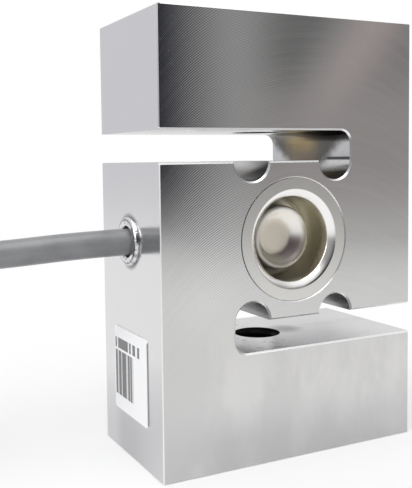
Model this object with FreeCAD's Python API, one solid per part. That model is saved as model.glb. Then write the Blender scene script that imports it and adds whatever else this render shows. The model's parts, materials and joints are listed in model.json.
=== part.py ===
import FreeCAD, Part
import math
import os

V = FreeCAD.Vector

# S-beam load cell, millimetres. X runs along its width, the front face looks along -Y, Z is the load axis.
# The origin is on the load axis, in the plane of the lower face.

# Spring element: one milled block
BODY_WIDTH = 50.8
BODY_DEPTH = 25.4
BODY_HEIGHT = 76.2
CORNER_CHAMFER = 0.15
SLOT_CHAMFER = 0.3

# Two slots, one open to each side, turn the block into an S
MIDDLE_HEIGHT = 26.9
SLOT_HEIGHT = 5.2
SLOT_END = 11.85
SLOT_CORNER_R = 2.1
RELIEF_R = 3.35

# Gauge bore through the middle block, with a shallow seat for a cup at each face
BORE_R = 9.4
SEAT_WIDTH = 1.2
SEAT_CHAMFER = 0.2
SEAT_CLEARANCE = 0.06

# Tapped load holes, M10 x 1.5, bored here at their tapping size
THREAD_R = 4.25
THREAD_CHAMFER = 0.9

# Corrugated seal cup: flange, lip, trough, crest and dished centre
CUP_SHEET = 0.35
CUP_SUNK = 0.06
LIP_R = 1.3
CUP_WALL_R = 7.4
TROUGH_DEPTH = 8.5
CREST_R = 5.1
CREST_TOP_DEPTH = 4.0
CREST_ROUND_R = 0.5
DISH_DEPTH = 6.35
DISH_FLOOR_R = 2.95
DISH_CORNER_R = 0.6

# Strain gauges, glued to the bore wall over the four thin webs
GAUGE_LENGTH = 5.2
GAUGE_WIDTH = 3.6
GAUGE_BACKING = 0.1
GRID_MARGIN = 0.6
GRID_HEIGHT = 0.08
GLUE = 0.02
LEAD_R = 0.16
LEAD_SPACING = 1.4
LEAD_TAB_INSET = 0.5
SOLDER = 0.04

# Compensation board with its pads and chip resistors
BOARD_WIDTH = 11.0
BOARD_HEIGHT = 9.5
BOARD_THICK = 1.0
PAD_WIDTH = 1.3
PAD_LENGTH = 1.3
PAD_HEIGHT = 0.12
PAD_INSET = 0.4
CHIP_LENGTH = 3.2
CHIP_WIDTH = 1.6
CHIP_HEIGHT = 0.6
CHIP_GAP = 0.7
BOND_DEPTH = 3.4
BOND_HEIGHT = 5.0
BOND_GRIP = 1.2

# Cable entry in the middle of the left side
CABLE_R = 2.3
GROMMET_WALL = 0.35
FERRULE_WALL = 0.93
FERRULE_OVERHANG = 0.65
PRESS_CLEARANCE = 0.02
GLAND_BORE_DEPTH = 7.0
WIRE_BORE_R = 1.9
FERRULE_PROUD = 0.75
FERRULE_ROUND_R = 0.6
MOUTH_ROUND_R = 0.4
FERRULE_LENGTH = 4.9
FERRULE_LIP = 0.6
FERRULE_LIP_CLEARANCE = 0.1
GROMMET_RECESS = 0.2
JACKET_CLEARANCE = 0.02
CLAMP_LENGTH = 0.95
CLAMP_GAP = 0.05
JACKET_BEHIND_CLAMP = 0.5
PLUG_SHORT_OF_BORE = 3.0
CORE_R = 0.5
CORE_GAP = 0.24
CORE_FAN = 1.6
CORE_STRAIGHT = 1.2

# Sticker on the lower arm's left end
LABEL_WIDTH = 14.6
LABEL_HEIGHT = 15.0
LABEL_THICK = 0.15
LABEL_CORNER_R = 0.9
LABEL_OFFSET_Y = 0.35
LABEL_CENTRE_Z = 14.9

# Cable put away as a tied hank beyond the left side: an inner and an outer column of turns
HANK_FOLD_R = 14.0
COLUMN_GAP = 0.2
HANK_LAYERS = 7
LAYER_GAP = 0.15
TURN_CLEARANCE = 0.1
HANK_NEAR_X = -81.2
HANK_STRAIGHT = 56.0
HANK_Y = 20.5
TIE_THICK = 0.6
TIE_WIDTH = 4.0
TIE_CORNER_R = 0.5
TIE_X = (-104.0, -127.0)
TIE_SLACK = 0.05
FREE_END_X = -98.0

# Free end: shrink sleeve and stripped leads, resting on the hank
SLEEVE_WALL = 0.15
SLEEVE_LENGTH = 12.0
FLY_LEAD_R = 0.55
FLY_TIP_R = 0.35
FLY_TIP_LENGTH = 4.5
FLY_BUNDLE_R = 1.2
FLY_STRAIGHT = 3.5
FLY_FIRST_R = 13.6
FLY_PITCH = 1.6
FLY_ANGLES = (68.0, 46.0, 26.0)
FLY_PLACES = (162.0, 234.0, 90.0, 306.0, 18.0)

# The cable's line from the gland to the hank
BEND_SHARE = 0.45
LAYER_PITCH = 2 * CABLE_R + LAYER_GAP
COLUMN_R = (HANK_FOLD_R, HANK_FOLD_R + 2 * CABLE_R + COLUMN_GAP)
TOP_TURN_RISE = 2 * CABLE_R + TURN_CLEARANCE
FIRST_LAYER_Z = TIE_THICK + TIE_SLACK + CABLE_R
HANK_TOP_Z = FIRST_LAYER_Z + (HANK_LAYERS - 1) * LAYER_PITCH + CABLE_R
TOP_RUN_Z = FIRST_LAYER_Z + HANK_LAYERS * LAYER_PITCH
TOP_RUN_Y = HANK_Y - COLUMN_R[0]

# Places that follow from the sizes
CENTRE_Z = BODY_HEIGHT / 2
FRONT_Y = -BODY_DEPTH / 2
LEFT_X = -BODY_WIDTH / 2
RELIEF_X = SLOT_END - RELIEF_R
SEAT_R = BORE_R + SEAT_WIDTH
CUP_FLANGE_R = SEAT_R - SEAT_CLEARANCE
SEAT_DEPTH = CUP_SUNK + CUP_SHEET
UPPER_SLOT_Z = CENTRE_Z + MIDDLE_HEIGHT / 2
ARM_HEIGHT = BODY_HEIGHT - UPPER_SLOT_Z - SLOT_HEIGHT
GAUGE_R = BORE_R - GLUE
CHIP_PITCH = CHIP_WIDTH + CHIP_GAP
CORE_OFFSET = CORE_R + CORE_GAP / 2
FERRULE_MOUTH_R = CABLE_R + GROMMET_WALL
GLAND_BORE_R = FERRULE_MOUTH_R + FERRULE_WALL + PRESS_CLEARANCE
FERRULE_FLANGE_R = GLAND_BORE_R + FERRULE_OVERHANG
SLEEVE_R = CABLE_R + SLEEVE_WALL
FERRULE_END_X = LEFT_X + FERRULE_LENGTH
CLAMP_X = FERRULE_END_X + CLAMP_GAP
JACKET_END_X = CLAMP_X + CLAMP_LENGTH + JACKET_BEHIND_CLAMP
GLAND_FLOOR_X = LEFT_X + GLAND_BORE_DEPTH
PLUG_END_X = -BORE_R - PLUG_SHORT_OF_BORE
WEB_ANGLE = math.degrees(math.atan2(UPPER_SLOT_Z - CENTRE_Z, RELIEF_X))
CABLE_ROUTE = [
    (JACKET_END_X, 0.0, CENTRE_Z),
    (-33.0, 0.0, CENTRE_Z),
    (-48.0, 3.0, 36.8),
    (-65.0, TOP_RUN_Y, TOP_RUN_Z),
    (-82.0, TOP_RUN_Y, TOP_RUN_Z),
]


# Shared tools
def line(a, b):
    return Part.LineSegment(a, b).toShape()


def arc(a, middle, b):
    return Part.Arc(a, middle, b).toShape()


def round_arc(centre, radius, start, end, plane):
    """An arc about centre from one angle to another, in degrees, on a plane given as a point function."""
    cx, cy = centre
    angles = (start, (start + end) / 2, end)
    points = [
        plane(cx + radius * math.cos(math.radians(a)), cy + radius * math.sin(math.radians(a)))
        for a in angles
    ]
    return arc(*points)


def face_of(edges):
    return Part.Face(Part.Wire(Part.__sortEdges__(edges)))


def turned(face, base, axis):
    return face.revolve(base, axis, 360)


def disc_bar(radius, start, end):
    """A round bar from one point to another."""
    along = end - start
    return Part.makeCylinder(radius, along.Length, start, along)


def bar_along_x(radius, x0, x1, y=0.0, z=None):
    """A round bar along X, on the cable's line unless y and z say otherwise."""
    height = CENTRE_Z if z is None else z
    return disc_bar(radius, V(x0, y, height), V(x1, y, height))


def ring_along_x(outer, inner, x0, x1):
    return bar_along_x(outer, x0, x1).cut(bar_along_x(inner, x0, x1))


def routed(points, radius, name=None):
    """A round bar along straight runs joined by tangent arcs, each as large as its two runs allow."""
    pts = [V(*p) for p in points]
    edges = []
    radii = []
    at = pts[0]
    for before, corner, after in zip(pts, pts[1:], pts[2:]):
        back = (before - corner).normalize()
        ahead = (after - corner).normalize()
        turn = math.pi - back.getAngle(ahead)
        reach = BEND_SHARE * min((before - corner).Length, (after - corner).Length)
        bend = reach / math.tan(turn / 2)
        radii.append(bend)
        start = corner + back * reach
        end = corner + ahead * reach
        towards = (back + ahead).normalize()
        centre_distance = bend / math.cos(turn / 2)
        middle = corner + towards * (centre_distance - bend)
        edges.append(line(at, start))
        edges.append(arc(start, middle, end))
        at = end
    edges.append(line(at, pts[-1]))
    path = Part.Wire(edges)
    section = Part.Wire(Part.Circle(pts[0], pts[1] - pts[0], radius).toShape())
    solid = path.makePipeShell([section], True, False)
    if name:
        share = solid.Volume / (math.pi * radius ** 2 * path.Length)
        print(f"{name}: length {path.Length:.2f} mm, radii {[round(r, 1) for r in radii]},"
              f" volume / (section x length) {share:.5f}")
    return solid


# Spring element
def s_outline():
    """The S as seen from the front: block, two slots, and two reliefs cut into each slot's inner edge."""
    def point(x, z):
        return V(x, FRONT_Y, z)

    right = BODY_WIDTH / 2

    def half(sign):
        """From one outer corner round its slot to the next. The lower half is the upper one turned over."""
        def p(x, z):
            return point(sign * x, CENTRE_Z + sign * (z - CENTRE_Z))

        inner = UPPER_SLOT_Z
        outer = UPPER_SLOT_Z + SLOT_HEIGHT
        corner_x = SLOT_END - SLOT_CORNER_R
        corner_z = outer - SLOT_CORNER_R
        return [
            line(p(right, BODY_HEIGHT), p(-right, BODY_HEIGHT)),
            line(p(-right, BODY_HEIGHT), p(-right, outer)),
            line(p(-right, outer), p(corner_x, outer)),
            round_arc((corner_x, corner_z), SLOT_CORNER_R, 90, 0, p),
            line(p(SLOT_END, corner_z), p(SLOT_END, inner)),
            round_arc((RELIEF_X, inner), RELIEF_R, 0, -180, p),
            line(p(RELIEF_X - RELIEF_R, inner), p(-RELIEF_X + RELIEF_R, inner)),
            round_arc((-RELIEF_X, inner), RELIEF_R, 0, -180, p),
            line(p(-RELIEF_X - RELIEF_R, inner), p(-right, inner)),
            line(p(-right, inner), p(-right, 0)),
        ]

    return half(1) + half(-1)


def on_corner(edge):
    """True for an edge along one of the block's own corners."""
    box = edge.BoundBox
    on_face = box.YLength < 1e-6
    at_side = box.XLength < 1e-6 and abs(abs(box.XMin) - BODY_WIDTH / 2) < 1e-6
    at_end = box.ZLength < 1e-6 and abs(abs(box.ZMin - CENTRE_Z) - BODY_HEIGHT / 2) < 1e-6
    return (at_side and (at_end or on_face)) or (at_end and on_face)


def on_slot(edge):
    """True for an edge of a slot's outline on the front or the rear face."""
    return edge.BoundBox.YLength < 1e-6 and not on_corner(edge)


def spring_element():
    block = face_of(s_outline()).extrude(V(0, BODY_DEPTH, 0))
    block = block.makeChamfer(SLOT_CHAMFER, [e for e in block.Edges if on_slot(e)])
    block = block.makeChamfer(CORNER_CHAMFER, [e for e in block.Edges if on_corner(e)])
    block = block.cut(gauge_bore())
    for mouth_z, inward in ((0.0, 1), (BODY_HEIGHT, -1)):
        block = block.cut(load_hole(mouth_z, inward))
    block = block.cut(bar_along_x(GLAND_BORE_R, LEFT_X, GLAND_FLOOR_X))
    return block.cut(bar_along_x(WIRE_BORE_R, GLAND_FLOOR_X, 0.0))


def gauge_bore():
    """The bore with its two seats and their broken edges, as one turned solid to take away."""
    axis = V(0, 0, CENTRE_Z)
    half = BODY_DEPTH / 2
    rim = SEAT_R + SEAT_CHAMFER
    profile = [
        (0, half), (rim, half), (SEAT_R, half - SEAT_CHAMFER), (SEAT_R, half - SEAT_DEPTH),
        (BORE_R, half - SEAT_DEPTH), (BORE_R, -half + SEAT_DEPTH), (SEAT_R, -half + SEAT_DEPTH),
        (SEAT_R, -half + SEAT_CHAMFER), (rim, -half), (0, -half), (0, half),
    ]
    wire = Part.makePolygon([V(r, y, CENTRE_Z) for r, y in profile])
    return turned(Part.Face(wire), axis, V(0, 1, 0))


def load_hole(mouth_z, inward):
    """A tapping-size hole through one arm, with a countersunk mouth on the outer face."""
    profile = [
        (0, 0), (THREAD_R + THREAD_CHAMFER, 0), (THREAD_R, THREAD_CHAMFER),
        (THREAD_R, ARM_HEIGHT), (0, ARM_HEIGHT), (0, 0),
    ]
    wire = Part.makePolygon([V(r, 0, mouth_z + inward * depth) for r, depth in profile])
    return turned(Part.Face(wire), V(0, 0, mouth_z), V(0, 0, 1))


# Seal cups
def dish_turn(crest, corner):
    """The angle, from the radius, at which the dish's cone leaves its floor's round for the crest's."""
    across = crest[0] - corner[0]
    down = corner[1] - crest[1]
    lean = math.acos((CREST_ROUND_R + DISH_CORNER_R) / math.hypot(across, down))
    return math.degrees(lean - math.atan2(down, across))


def seal_cup(side):
    """One pressed cup. side is -1 at the front face and +1 at the rear face."""
    def at(r, depth):
        return V(r, side * (BODY_DEPTH / 2 - depth), CENTRE_Z)

    def skin(inset):
        """The visible surface's outline, or the one behind it at that distance."""
        lip = (CUP_WALL_R + LIP_R, CUP_SUNK + LIP_R)
        flank_r = CREST_R + CREST_ROUND_R
        trough_r = (CUP_WALL_R - flank_r) / 2
        trough = ((CUP_WALL_R + flank_r) / 2, TROUGH_DEPTH - trough_r)
        crest = (CREST_R, CREST_TOP_DEPTH + CREST_ROUND_R)
        corner = (DISH_FLOOR_R, DISH_DEPTH - DISH_CORNER_R)
        turn = dish_turn(crest, corner)
        crest_arc = round_arc(crest, CREST_ROUND_R - inset, 0, turn - 180, at)
        corner_arc = round_arc(corner, DISH_CORNER_R + inset, turn, 90, at)
        return [
            line(at(CUP_FLANGE_R, CUP_SUNK + inset), at(lip[0], CUP_SUNK + inset)),
            round_arc(lip, LIP_R - inset, -90, -180, at),
            line(at(CUP_WALL_R + inset, lip[1]), at(CUP_WALL_R + inset, trough[1])),
            round_arc(trough, trough_r + inset, 0, 180, at),
            line(at(flank_r - inset, trough[1]), at(flank_r - inset, crest[1])),
            crest_arc,
            line(crest_arc.valueAt(crest_arc.LastParameter), corner_arc.valueAt(corner_arc.FirstParameter)),
            corner_arc,
            line(at(corner[0], DISH_DEPTH + inset), at(0, DISH_DEPTH + inset)),
        ]

    rim = line(at(CUP_FLANGE_R, CUP_SUNK), at(CUP_FLANGE_R, CUP_SUNK + CUP_SHEET))
    middle = line(at(0, DISH_DEPTH), at(0, DISH_DEPTH + CUP_SHEET))
    face = face_of(skin(0) + skin(CUP_SHEET) + [rim, middle])
    return turned(face, V(0, 0, CENTRE_Z), V(0, 1, 0))


# Strain gauges and their leads
def bore_patch(inner, outer, length, width, angle):
    """A curved patch on the bore wall, centred on mid-depth at that angle from +X."""
    spread = math.degrees(length / outer)
    base = V(0, -width / 2, CENTRE_Z)
    sector = Part.makeCylinder(outer, width, base, V(0, 1, 0), spread)
    sector = sector.cut(Part.makeCylinder(inner, width, base, V(0, 1, 0))).Solids[0]
    first = sector.CenterOfMass
    now = math.degrees(math.atan2(first.z - CENTRE_Z, first.x))
    sector.rotate(V(0, 0, CENTRE_Z), V(0, -1, 0), angle - now)
    return sector


def strain_gauge(angle):
    face_r = GAUGE_R - GAUGE_BACKING
    backing = bore_patch(face_r, GAUGE_R, GAUGE_LENGTH, GAUGE_WIDTH, angle)
    grid_length = GAUGE_LENGTH - 2 * GRID_MARGIN
    grid_width = GAUGE_WIDTH - 2 * GRID_MARGIN
    grid = bore_patch(face_r - GRID_HEIGHT, face_r, grid_length, grid_width, angle)
    return backing.fuse(grid).removeSplitter()


def gauge_lead(angle, strand):
    """One fine wire from a gauge's end to its pad on the board. strand is -1 or +1."""
    side = 1 if math.cos(math.radians(angle)) > 0 else -1
    up = 1 if math.sin(math.radians(angle)) > 0 else -1
    inset = math.degrees((GAUGE_LENGTH / 2 - LEAD_TAB_INSET) / GAUGE_R)
    tab_angle = math.radians(angle + side * up * inset)
    tab_r = GAUGE_R - GAUGE_BACKING - SOLDER - LEAD_R
    tab_y = strand * LEAD_SPACING / 2
    pad_x, pad_z = lead_pad(side, up, strand)
    pad_y = -BOARD_THICK / 2 - PAD_HEIGHT - SOLDER - LEAD_R
    start = (tab_r * math.cos(tab_angle), tab_y, CENTRE_Z + tab_r * math.sin(tab_angle))
    beside = (pad_x, pad_y, CENTRE_Z + up * (BOARD_HEIGHT / 2 + PAD_LENGTH))
    return routed([start, beside, (pad_x, pad_y, CENTRE_Z + pad_z)], LEAD_R)


def lead_pad(side, up, strand):
    """Where a gauge lead lands on the board, from the board's middle."""
    x = side * (BOARD_WIDTH / 2 - PAD_INSET - PAD_WIDTH) + strand * LEAD_SPACING / 2
    return x, up * (BOARD_HEIGHT / 2 - PAD_INSET - PAD_LENGTH / 2)


# Board
def board_pad(x, z, face):
    """A raised pad. face is -1 on the front of the board and +1 behind it."""
    y = face * BOARD_THICK / 2
    low = min(y, y + face * PAD_HEIGHT)
    corner = V(x - PAD_WIDTH / 2, low, CENTRE_Z + z - PAD_LENGTH / 2)
    return Part.makeBox(PAD_WIDTH, PAD_HEIGHT, PAD_LENGTH, corner)


def compensation_board():
    corner = V(-BOARD_WIDTH / 2, -BOARD_THICK / 2, CENTRE_Z - BOARD_HEIGHT / 2)
    board = Part.makeBox(BOARD_WIDTH, BOARD_THICK, BOARD_HEIGHT, corner)
    pads = [
        board_pad(*lead_pad(side, up, strand), -1)
        for side in (-1, 1) for up in (-1, 1) for strand in (-1, 1)
    ]
    core_x = -BOARD_WIDTH / 2 + PAD_INSET + PAD_WIDTH / 2
    pads += [board_pad(core_x, up * CORE_FAN, face) for up in (-1, 1) for face in (-1, 1)]
    return board.fuse(pads).removeSplitter()


def chip_resistor(place):
    """A chip on the board's front, between the two rows of pads. place is -1, 0 or +1."""
    low_z = CENTRE_Z + place * CHIP_PITCH - CHIP_WIDTH / 2
    corner = V(-CHIP_LENGTH / 2, -BOARD_THICK / 2 - CHIP_HEIGHT, low_z)
    return Part.makeBox(CHIP_LENGTH, CHIP_HEIGHT, CHIP_WIDTH, corner)


def board_bond():
    """A block of set adhesive that grips the board's right edge and fills the way to the bore wall."""
    inner_x = BOARD_WIDTH / 2 - BOND_GRIP
    corner = V(inner_x, -BOND_DEPTH / 2, CENTRE_Z - BOND_HEIGHT / 2)
    block = Part.makeBox(BORE_R - inner_x, BOND_DEPTH, BOND_HEIGHT, corner)
    bore = Part.makeCylinder(BORE_R, BOND_DEPTH, V(0, -BOND_DEPTH / 2, CENTRE_Z), V(0, 1, 0))
    groove_corner = V(inner_x, -BOARD_THICK / 2, CENTRE_Z - BOND_HEIGHT / 2)
    groove = Part.makeBox(BOND_GRIP, BOARD_THICK, BOND_HEIGHT, groove_corner)
    return block.common(bore).cut(groove)


# Cable entry
def ferrule():
    """The bright ring on the left side and the sleeve behind it, pressed into the gland bore."""
    def at(out, r):
        return V(LEFT_X - out, r, CENTRE_Z)

    shank_r = GLAND_BORE_R - PRESS_CLEARANCE
    lip_r = CABLE_R + FERRULE_LIP_CLEARANCE
    lip_out = FERRULE_LIP - FERRULE_LENGTH
    outer = (FERRULE_PROUD - FERRULE_ROUND_R, FERRULE_FLANGE_R - FERRULE_ROUND_R)
    inner = (FERRULE_PROUD - MOUTH_ROUND_R, FERRULE_MOUTH_R + MOUTH_ROUND_R)
    edges = [
        line(at(-FERRULE_LENGTH, lip_r), at(-FERRULE_LENGTH, shank_r)),
        line(at(-FERRULE_LENGTH, shank_r), at(0, shank_r)),
        line(at(0, shank_r), at(0, FERRULE_FLANGE_R)),
        line(at(0, FERRULE_FLANGE_R), at(outer[0], FERRULE_FLANGE_R)),
        round_arc(outer, FERRULE_ROUND_R, 90, 0, at),
        line(at(FERRULE_PROUD, outer[1]), at(FERRULE_PROUD, inner[1])),
        round_arc(inner, MOUTH_ROUND_R, 0, -90, at),
        line(at(inner[0], FERRULE_MOUTH_R), at(lip_out, FERRULE_MOUTH_R)),
        line(at(lip_out, FERRULE_MOUTH_R), at(lip_out, lip_r)),
        line(at(lip_out, lip_r), at(-FERRULE_LENGTH, lip_r)),
    ]
    return turned(face_of(edges), V(0, 0, CENTRE_Z), V(1, 0, 0))


def grommet():
    outer = FERRULE_MOUTH_R - PRESS_CLEARANCE
    inner = CABLE_R + JACKET_CLEARANCE
    return ring_along_x(outer, inner, LEFT_X + GROMMET_RECESS, FERRULE_END_X - FERRULE_LIP)


def cable_clamp():
    outer = GLAND_BORE_R - PRESS_CLEARANCE
    return ring_along_x(outer, CABLE_R + JACKET_CLEARANCE, CLAMP_X, CLAMP_X + CLAMP_LENGTH)


def potting_plug():
    """Set compound behind the cable's end: a head in the gland bore and a plug round the cores."""
    head = bar_along_x(GLAND_BORE_R - PRESS_CLEARANCE, JACKET_END_X, GLAND_FLOOR_X)
    plug = head.fuse(bar_along_x(WIRE_BORE_R - PRESS_CLEARANCE, GLAND_FLOOR_X, PLUG_END_X)).removeSplitter()
    for y, z in core_places():
        plug = plug.cut(bar_along_x(CORE_R, JACKET_END_X, PLUG_END_X, y, CENTRE_Z + z))
    return plug


def core_places():
    """The four cores' places in the cable, as offsets along Y and Z."""
    return [(face * CORE_OFFSET, up * CORE_OFFSET) for face in (-1, 1) for up in (1, -1)]


def cable_core(y, z):
    """One core, from the end of the jacket to its pad on the board."""
    face = 1 if y > 0 else -1
    up = 1 if z > 0 else -1
    pad_y = face * (BOARD_THICK / 2 + PAD_HEIGHT + SOLDER + CORE_R)
    pad_z = CENTRE_Z + up * CORE_FAN
    edge_x = -BOARD_WIDTH / 2
    return routed([
        (JACKET_END_X, y, CENTRE_Z + z),
        (-BORE_R + CORE_STRAIGHT / 2, y, CENTRE_Z + z),
        (edge_x - CORE_STRAIGHT / 2, pad_y, pad_z),
        (edge_x + PAD_INSET + PAD_WIDTH, pad_y, pad_z),
    ], CORE_R)


# Sticker
def rounded_sheet(width, height, corner_r, thick):
    """A thin sheet on the left side, rounded at its corners, centred on the label's place."""
    corner = V(LEFT_X - thick, LABEL_OFFSET_Y - width / 2, LABEL_CENTRE_Z - height / 2)
    sheet = Part.makeBox(thick, width, height, corner)
    return sheet.makeFillet(corner_r, [e for e in sheet.Edges if e.BoundBox.XLength > thick / 2])


# Hank, ties and free end
def racetrack(radius, z0, z1):
    """A solid round-ended block over the hank's place."""
    far_x = HANK_NEAR_X - HANK_STRAIGHT
    block = Part.makeBox(HANK_STRAIGHT, 2 * radius, z1 - z0, V(far_x, HANK_Y - radius, z0))
    ends = [Part.makeCylinder(radius, z1 - z0, V(x, HANK_Y, z0)) for x in (far_x, HANK_NEAR_X)]
    return block.fuse(ends).removeSplitter()


def band(inner, outer, z0, z1, x0, x1):
    """The part of a racetrack band between two places along X."""
    ring = racetrack(outer, z0, z1).cut(racetrack(inner, z0, z1))
    return ring.common(Part.makeBox(x1 - x0, 4 * outer, z1 - z0, V(x0, HANK_Y - 2 * outer, z0)))


def cable_hank():
    """The outer shape of the hank: seven full layers, and on them the turns that start and end it."""
    half_turn = CABLE_R + TURN_CLEARANCE
    inner = COLUMN_R[0] - half_turn
    outer = COLUMN_R[-1] + half_turn
    top = HANK_TOP_Z + TURN_CLEARANCE
    far_x = HANK_NEAR_X - HANK_STRAIGHT - outer
    low = FIRST_LAYER_Z - CABLE_R
    body = racetrack(outer, low, top).cut(racetrack(inner, low, top))
    turns = band(inner, outer, top, top + TOP_TURN_RISE, far_x, FREE_END_X)
    run_end_x = CABLE_ROUTE[-1][0]
    run_corner = V(HANK_NEAR_X - HANK_STRAIGHT, TOP_RUN_Y - CABLE_R, top)
    run = Part.makeBox(run_end_x - run_corner.x, 2 * CABLE_R, TOP_RUN_Z + CABLE_R - top, run_corner)
    return body.fuse([turns, run]).removeSplitter()


def hank_tie(x):
    """A flat band drawn round the hank."""
    outer = COLUMN_R[-1] + CABLE_R + TURN_CLEARANCE + TIE_SLACK
    top_z = HANK_TOP_Z + TURN_CLEARANCE + TOP_TURN_RISE + TIE_SLACK
    corner = V(x - TIE_WIDTH / 2, HANK_Y - outer, TIE_THICK)
    inside = Part.makeBox(TIE_WIDTH, 2 * outer, top_z - TIE_THICK, corner)
    grown = Part.makeBox(
        TIE_WIDTH, 2 * (outer + TIE_THICK), top_z + TIE_THICK, V(corner.x, corner.y - TIE_THICK, 0)
    )
    rounded = grown.makeFillet(TIE_CORNER_R, [e for e in grown.Edges if e.BoundBox.XLength > TIE_WIDTH / 2])
    return rounded.cut(inside)


def end_sleeve():
    z = HANK_TOP_Z + TURN_CLEARANCE + SLEEVE_R
    return bar_along_x(SLEEVE_R, FREE_END_X, FREE_END_X + SLEEVE_LENGTH, HANK_Y + COLUMN_R[-1], z)


def flying_lead(place):
    """One stripped lead, from the sleeve's end round the hank's near fold. place counts from -2 to 2."""
    start_x = FREE_END_X + SLEEVE_LENGTH
    around = math.radians(FLY_PLACES[place + 2])
    top = HANK_TOP_Z + TURN_CLEARANCE
    start_y = HANK_Y + COLUMN_R[-1] + FLY_BUNDLE_R * math.cos(around)
    start_z = top + SLEEVE_R + FLY_BUNDLE_R * math.sin(around)
    fold_r = FLY_FIRST_R + (place + 2) * FLY_PITCH
    fold = [
        (
            HANK_NEAR_X + fold_r * math.cos(math.radians(angle)),
            HANK_Y + fold_r * math.sin(math.radians(angle)),
            top + FLY_LEAD_R,
        )
        for angle in FLY_ANGLES
    ]
    start = (start_x, start_y, start_z)
    bend = (start_x + FLY_STRAIGHT, start_y, start_z)
    insulation = routed([start, bend] + fold, FLY_LEAD_R)
    end = V(*fold[-1])
    onward = (end - V(*fold[-2])).normalize() * FLY_TIP_LENGTH
    return insulation.fuse(disc_bar(FLY_TIP_R, end, end + onward)).removeSplitter()


# The model
def make_parts():
    parts = {
        "spring_element": spring_element(),
        "front_seal_cup": seal_cup(-1),
        "rear_seal_cup": seal_cup(1),
        "compensation_board": compensation_board(),
        "board_bond": board_bond(),
        "cable_ferrule": ferrule(),
        "cable_grommet": grommet(),
        "cable_clamp_ring": cable_clamp(),
        "potting_plug": potting_plug(),
        "serial_label": rounded_sheet(LABEL_WIDTH, LABEL_HEIGHT, LABEL_CORNER_R, LABEL_THICK),
        "cable": routed(CABLE_ROUTE, CABLE_R, "cable"),
        "cable_hank": cable_hank(),
        "cable_end_sleeve": end_sleeve(),
    }
    gauges = {
        "upper_right": WEB_ANGLE,
        "upper_left": 180 - WEB_ANGLE,
        "lower_left": 180 + WEB_ANGLE,
        "lower_right": -WEB_ANGLE,
    }
    for name, angle in gauges.items():
        parts[f"strain_gauge_{name}"] = strain_gauge(angle)
        for count, strand in enumerate((-1, 1), start=1):
            parts[f"gauge_lead_{name}_{count}"] = gauge_lead(angle, strand)
    for name, place in (("span", -1), ("zero", 0), ("thermal", 1)):
        parts[f"{name}_resistor"] = chip_resistor(place)
    for colour, (y, z) in zip(("red", "black", "green", "white"), core_places()):
        parts[f"core_{colour}"] = cable_core(y, z)
    for count, x in enumerate(TIE_X, start=1):
        parts[f"hank_tie_{count}"] = hank_tie(x)
    for place, colour in enumerate(("red", "black", "green", "white", "screen"), start=-2):
        parts[f"lead_{colour}"] = flying_lead(place)
    return parts


os.makedirs("parts", exist_ok=True)
for node, shape in make_parts().items():
    print(f"{node}: solids {len(shape.Solids)}, valid {shape.isValid()}, volume {shape.Volume:.3f}")
    shape.exportStep(f"parts/{node}.step")
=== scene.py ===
import json
import math
from types import SimpleNamespace

import bmesh
import bpy
from mathutils import Matrix, Vector


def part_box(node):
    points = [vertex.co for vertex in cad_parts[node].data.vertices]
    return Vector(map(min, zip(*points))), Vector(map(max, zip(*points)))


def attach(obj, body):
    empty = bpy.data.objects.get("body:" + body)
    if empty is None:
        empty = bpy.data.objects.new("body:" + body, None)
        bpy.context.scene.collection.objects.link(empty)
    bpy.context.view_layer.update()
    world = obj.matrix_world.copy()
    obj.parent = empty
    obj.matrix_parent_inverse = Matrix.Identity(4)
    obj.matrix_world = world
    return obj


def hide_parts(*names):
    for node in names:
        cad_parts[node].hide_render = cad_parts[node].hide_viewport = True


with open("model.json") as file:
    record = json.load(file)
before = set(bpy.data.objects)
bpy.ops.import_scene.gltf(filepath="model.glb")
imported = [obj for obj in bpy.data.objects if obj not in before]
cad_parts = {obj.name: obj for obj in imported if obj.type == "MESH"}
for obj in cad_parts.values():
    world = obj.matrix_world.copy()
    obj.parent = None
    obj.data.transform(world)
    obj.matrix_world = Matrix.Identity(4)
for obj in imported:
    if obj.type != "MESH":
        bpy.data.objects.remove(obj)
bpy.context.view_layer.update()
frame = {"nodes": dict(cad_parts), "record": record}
MM = 0.001

# The photograph's frame, and the camera solved from the block's corners in it
IMAGE_WIDTH = 412
IMAGE_HEIGHT = 488
FOCAL_PIXELS = 766.0
CENTRE_PIXEL = (182.7, 207.0)
CAMERA_PLACE = (-0.07497, -0.12129, 0.05224)
CAMERA_YAW = 26.25
CAMERA_DOWN = 3.65
CAMERA_ROLL = -0.76
SENSOR = 36.0
NEAREST_SEEN = 0.005

# The block
block_low, block_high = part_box("spring_element")
MID_Z = (block_low[2] + block_high[2]) / 2
HALF_WIDTH = (block_high[0] - block_low[0]) / 2
HALF_DEPTH = (block_high[1] - block_low[1]) / 2
ARM_HEIGHT = 19.45 * MM

# The slots, measured from the block's middle, and the two reliefs in each one's inner edge
SLOT_INNER = 13.45 * MM
SLOT_OUTER = 18.65 * MM
SLOT_WALL_X = 9.7 * MM
RELIEF_X = 8.5 * MM
RELIEF_R = 3.35 * MM

# A face is square to an axis, or a chamfer, from these parts of its normal on
SQUARE = 0.9
SLANTED = 0.3
FACE_MARGIN = 0.2 * MM
FRONT_MARGIN = 0.5 * MM

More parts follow.
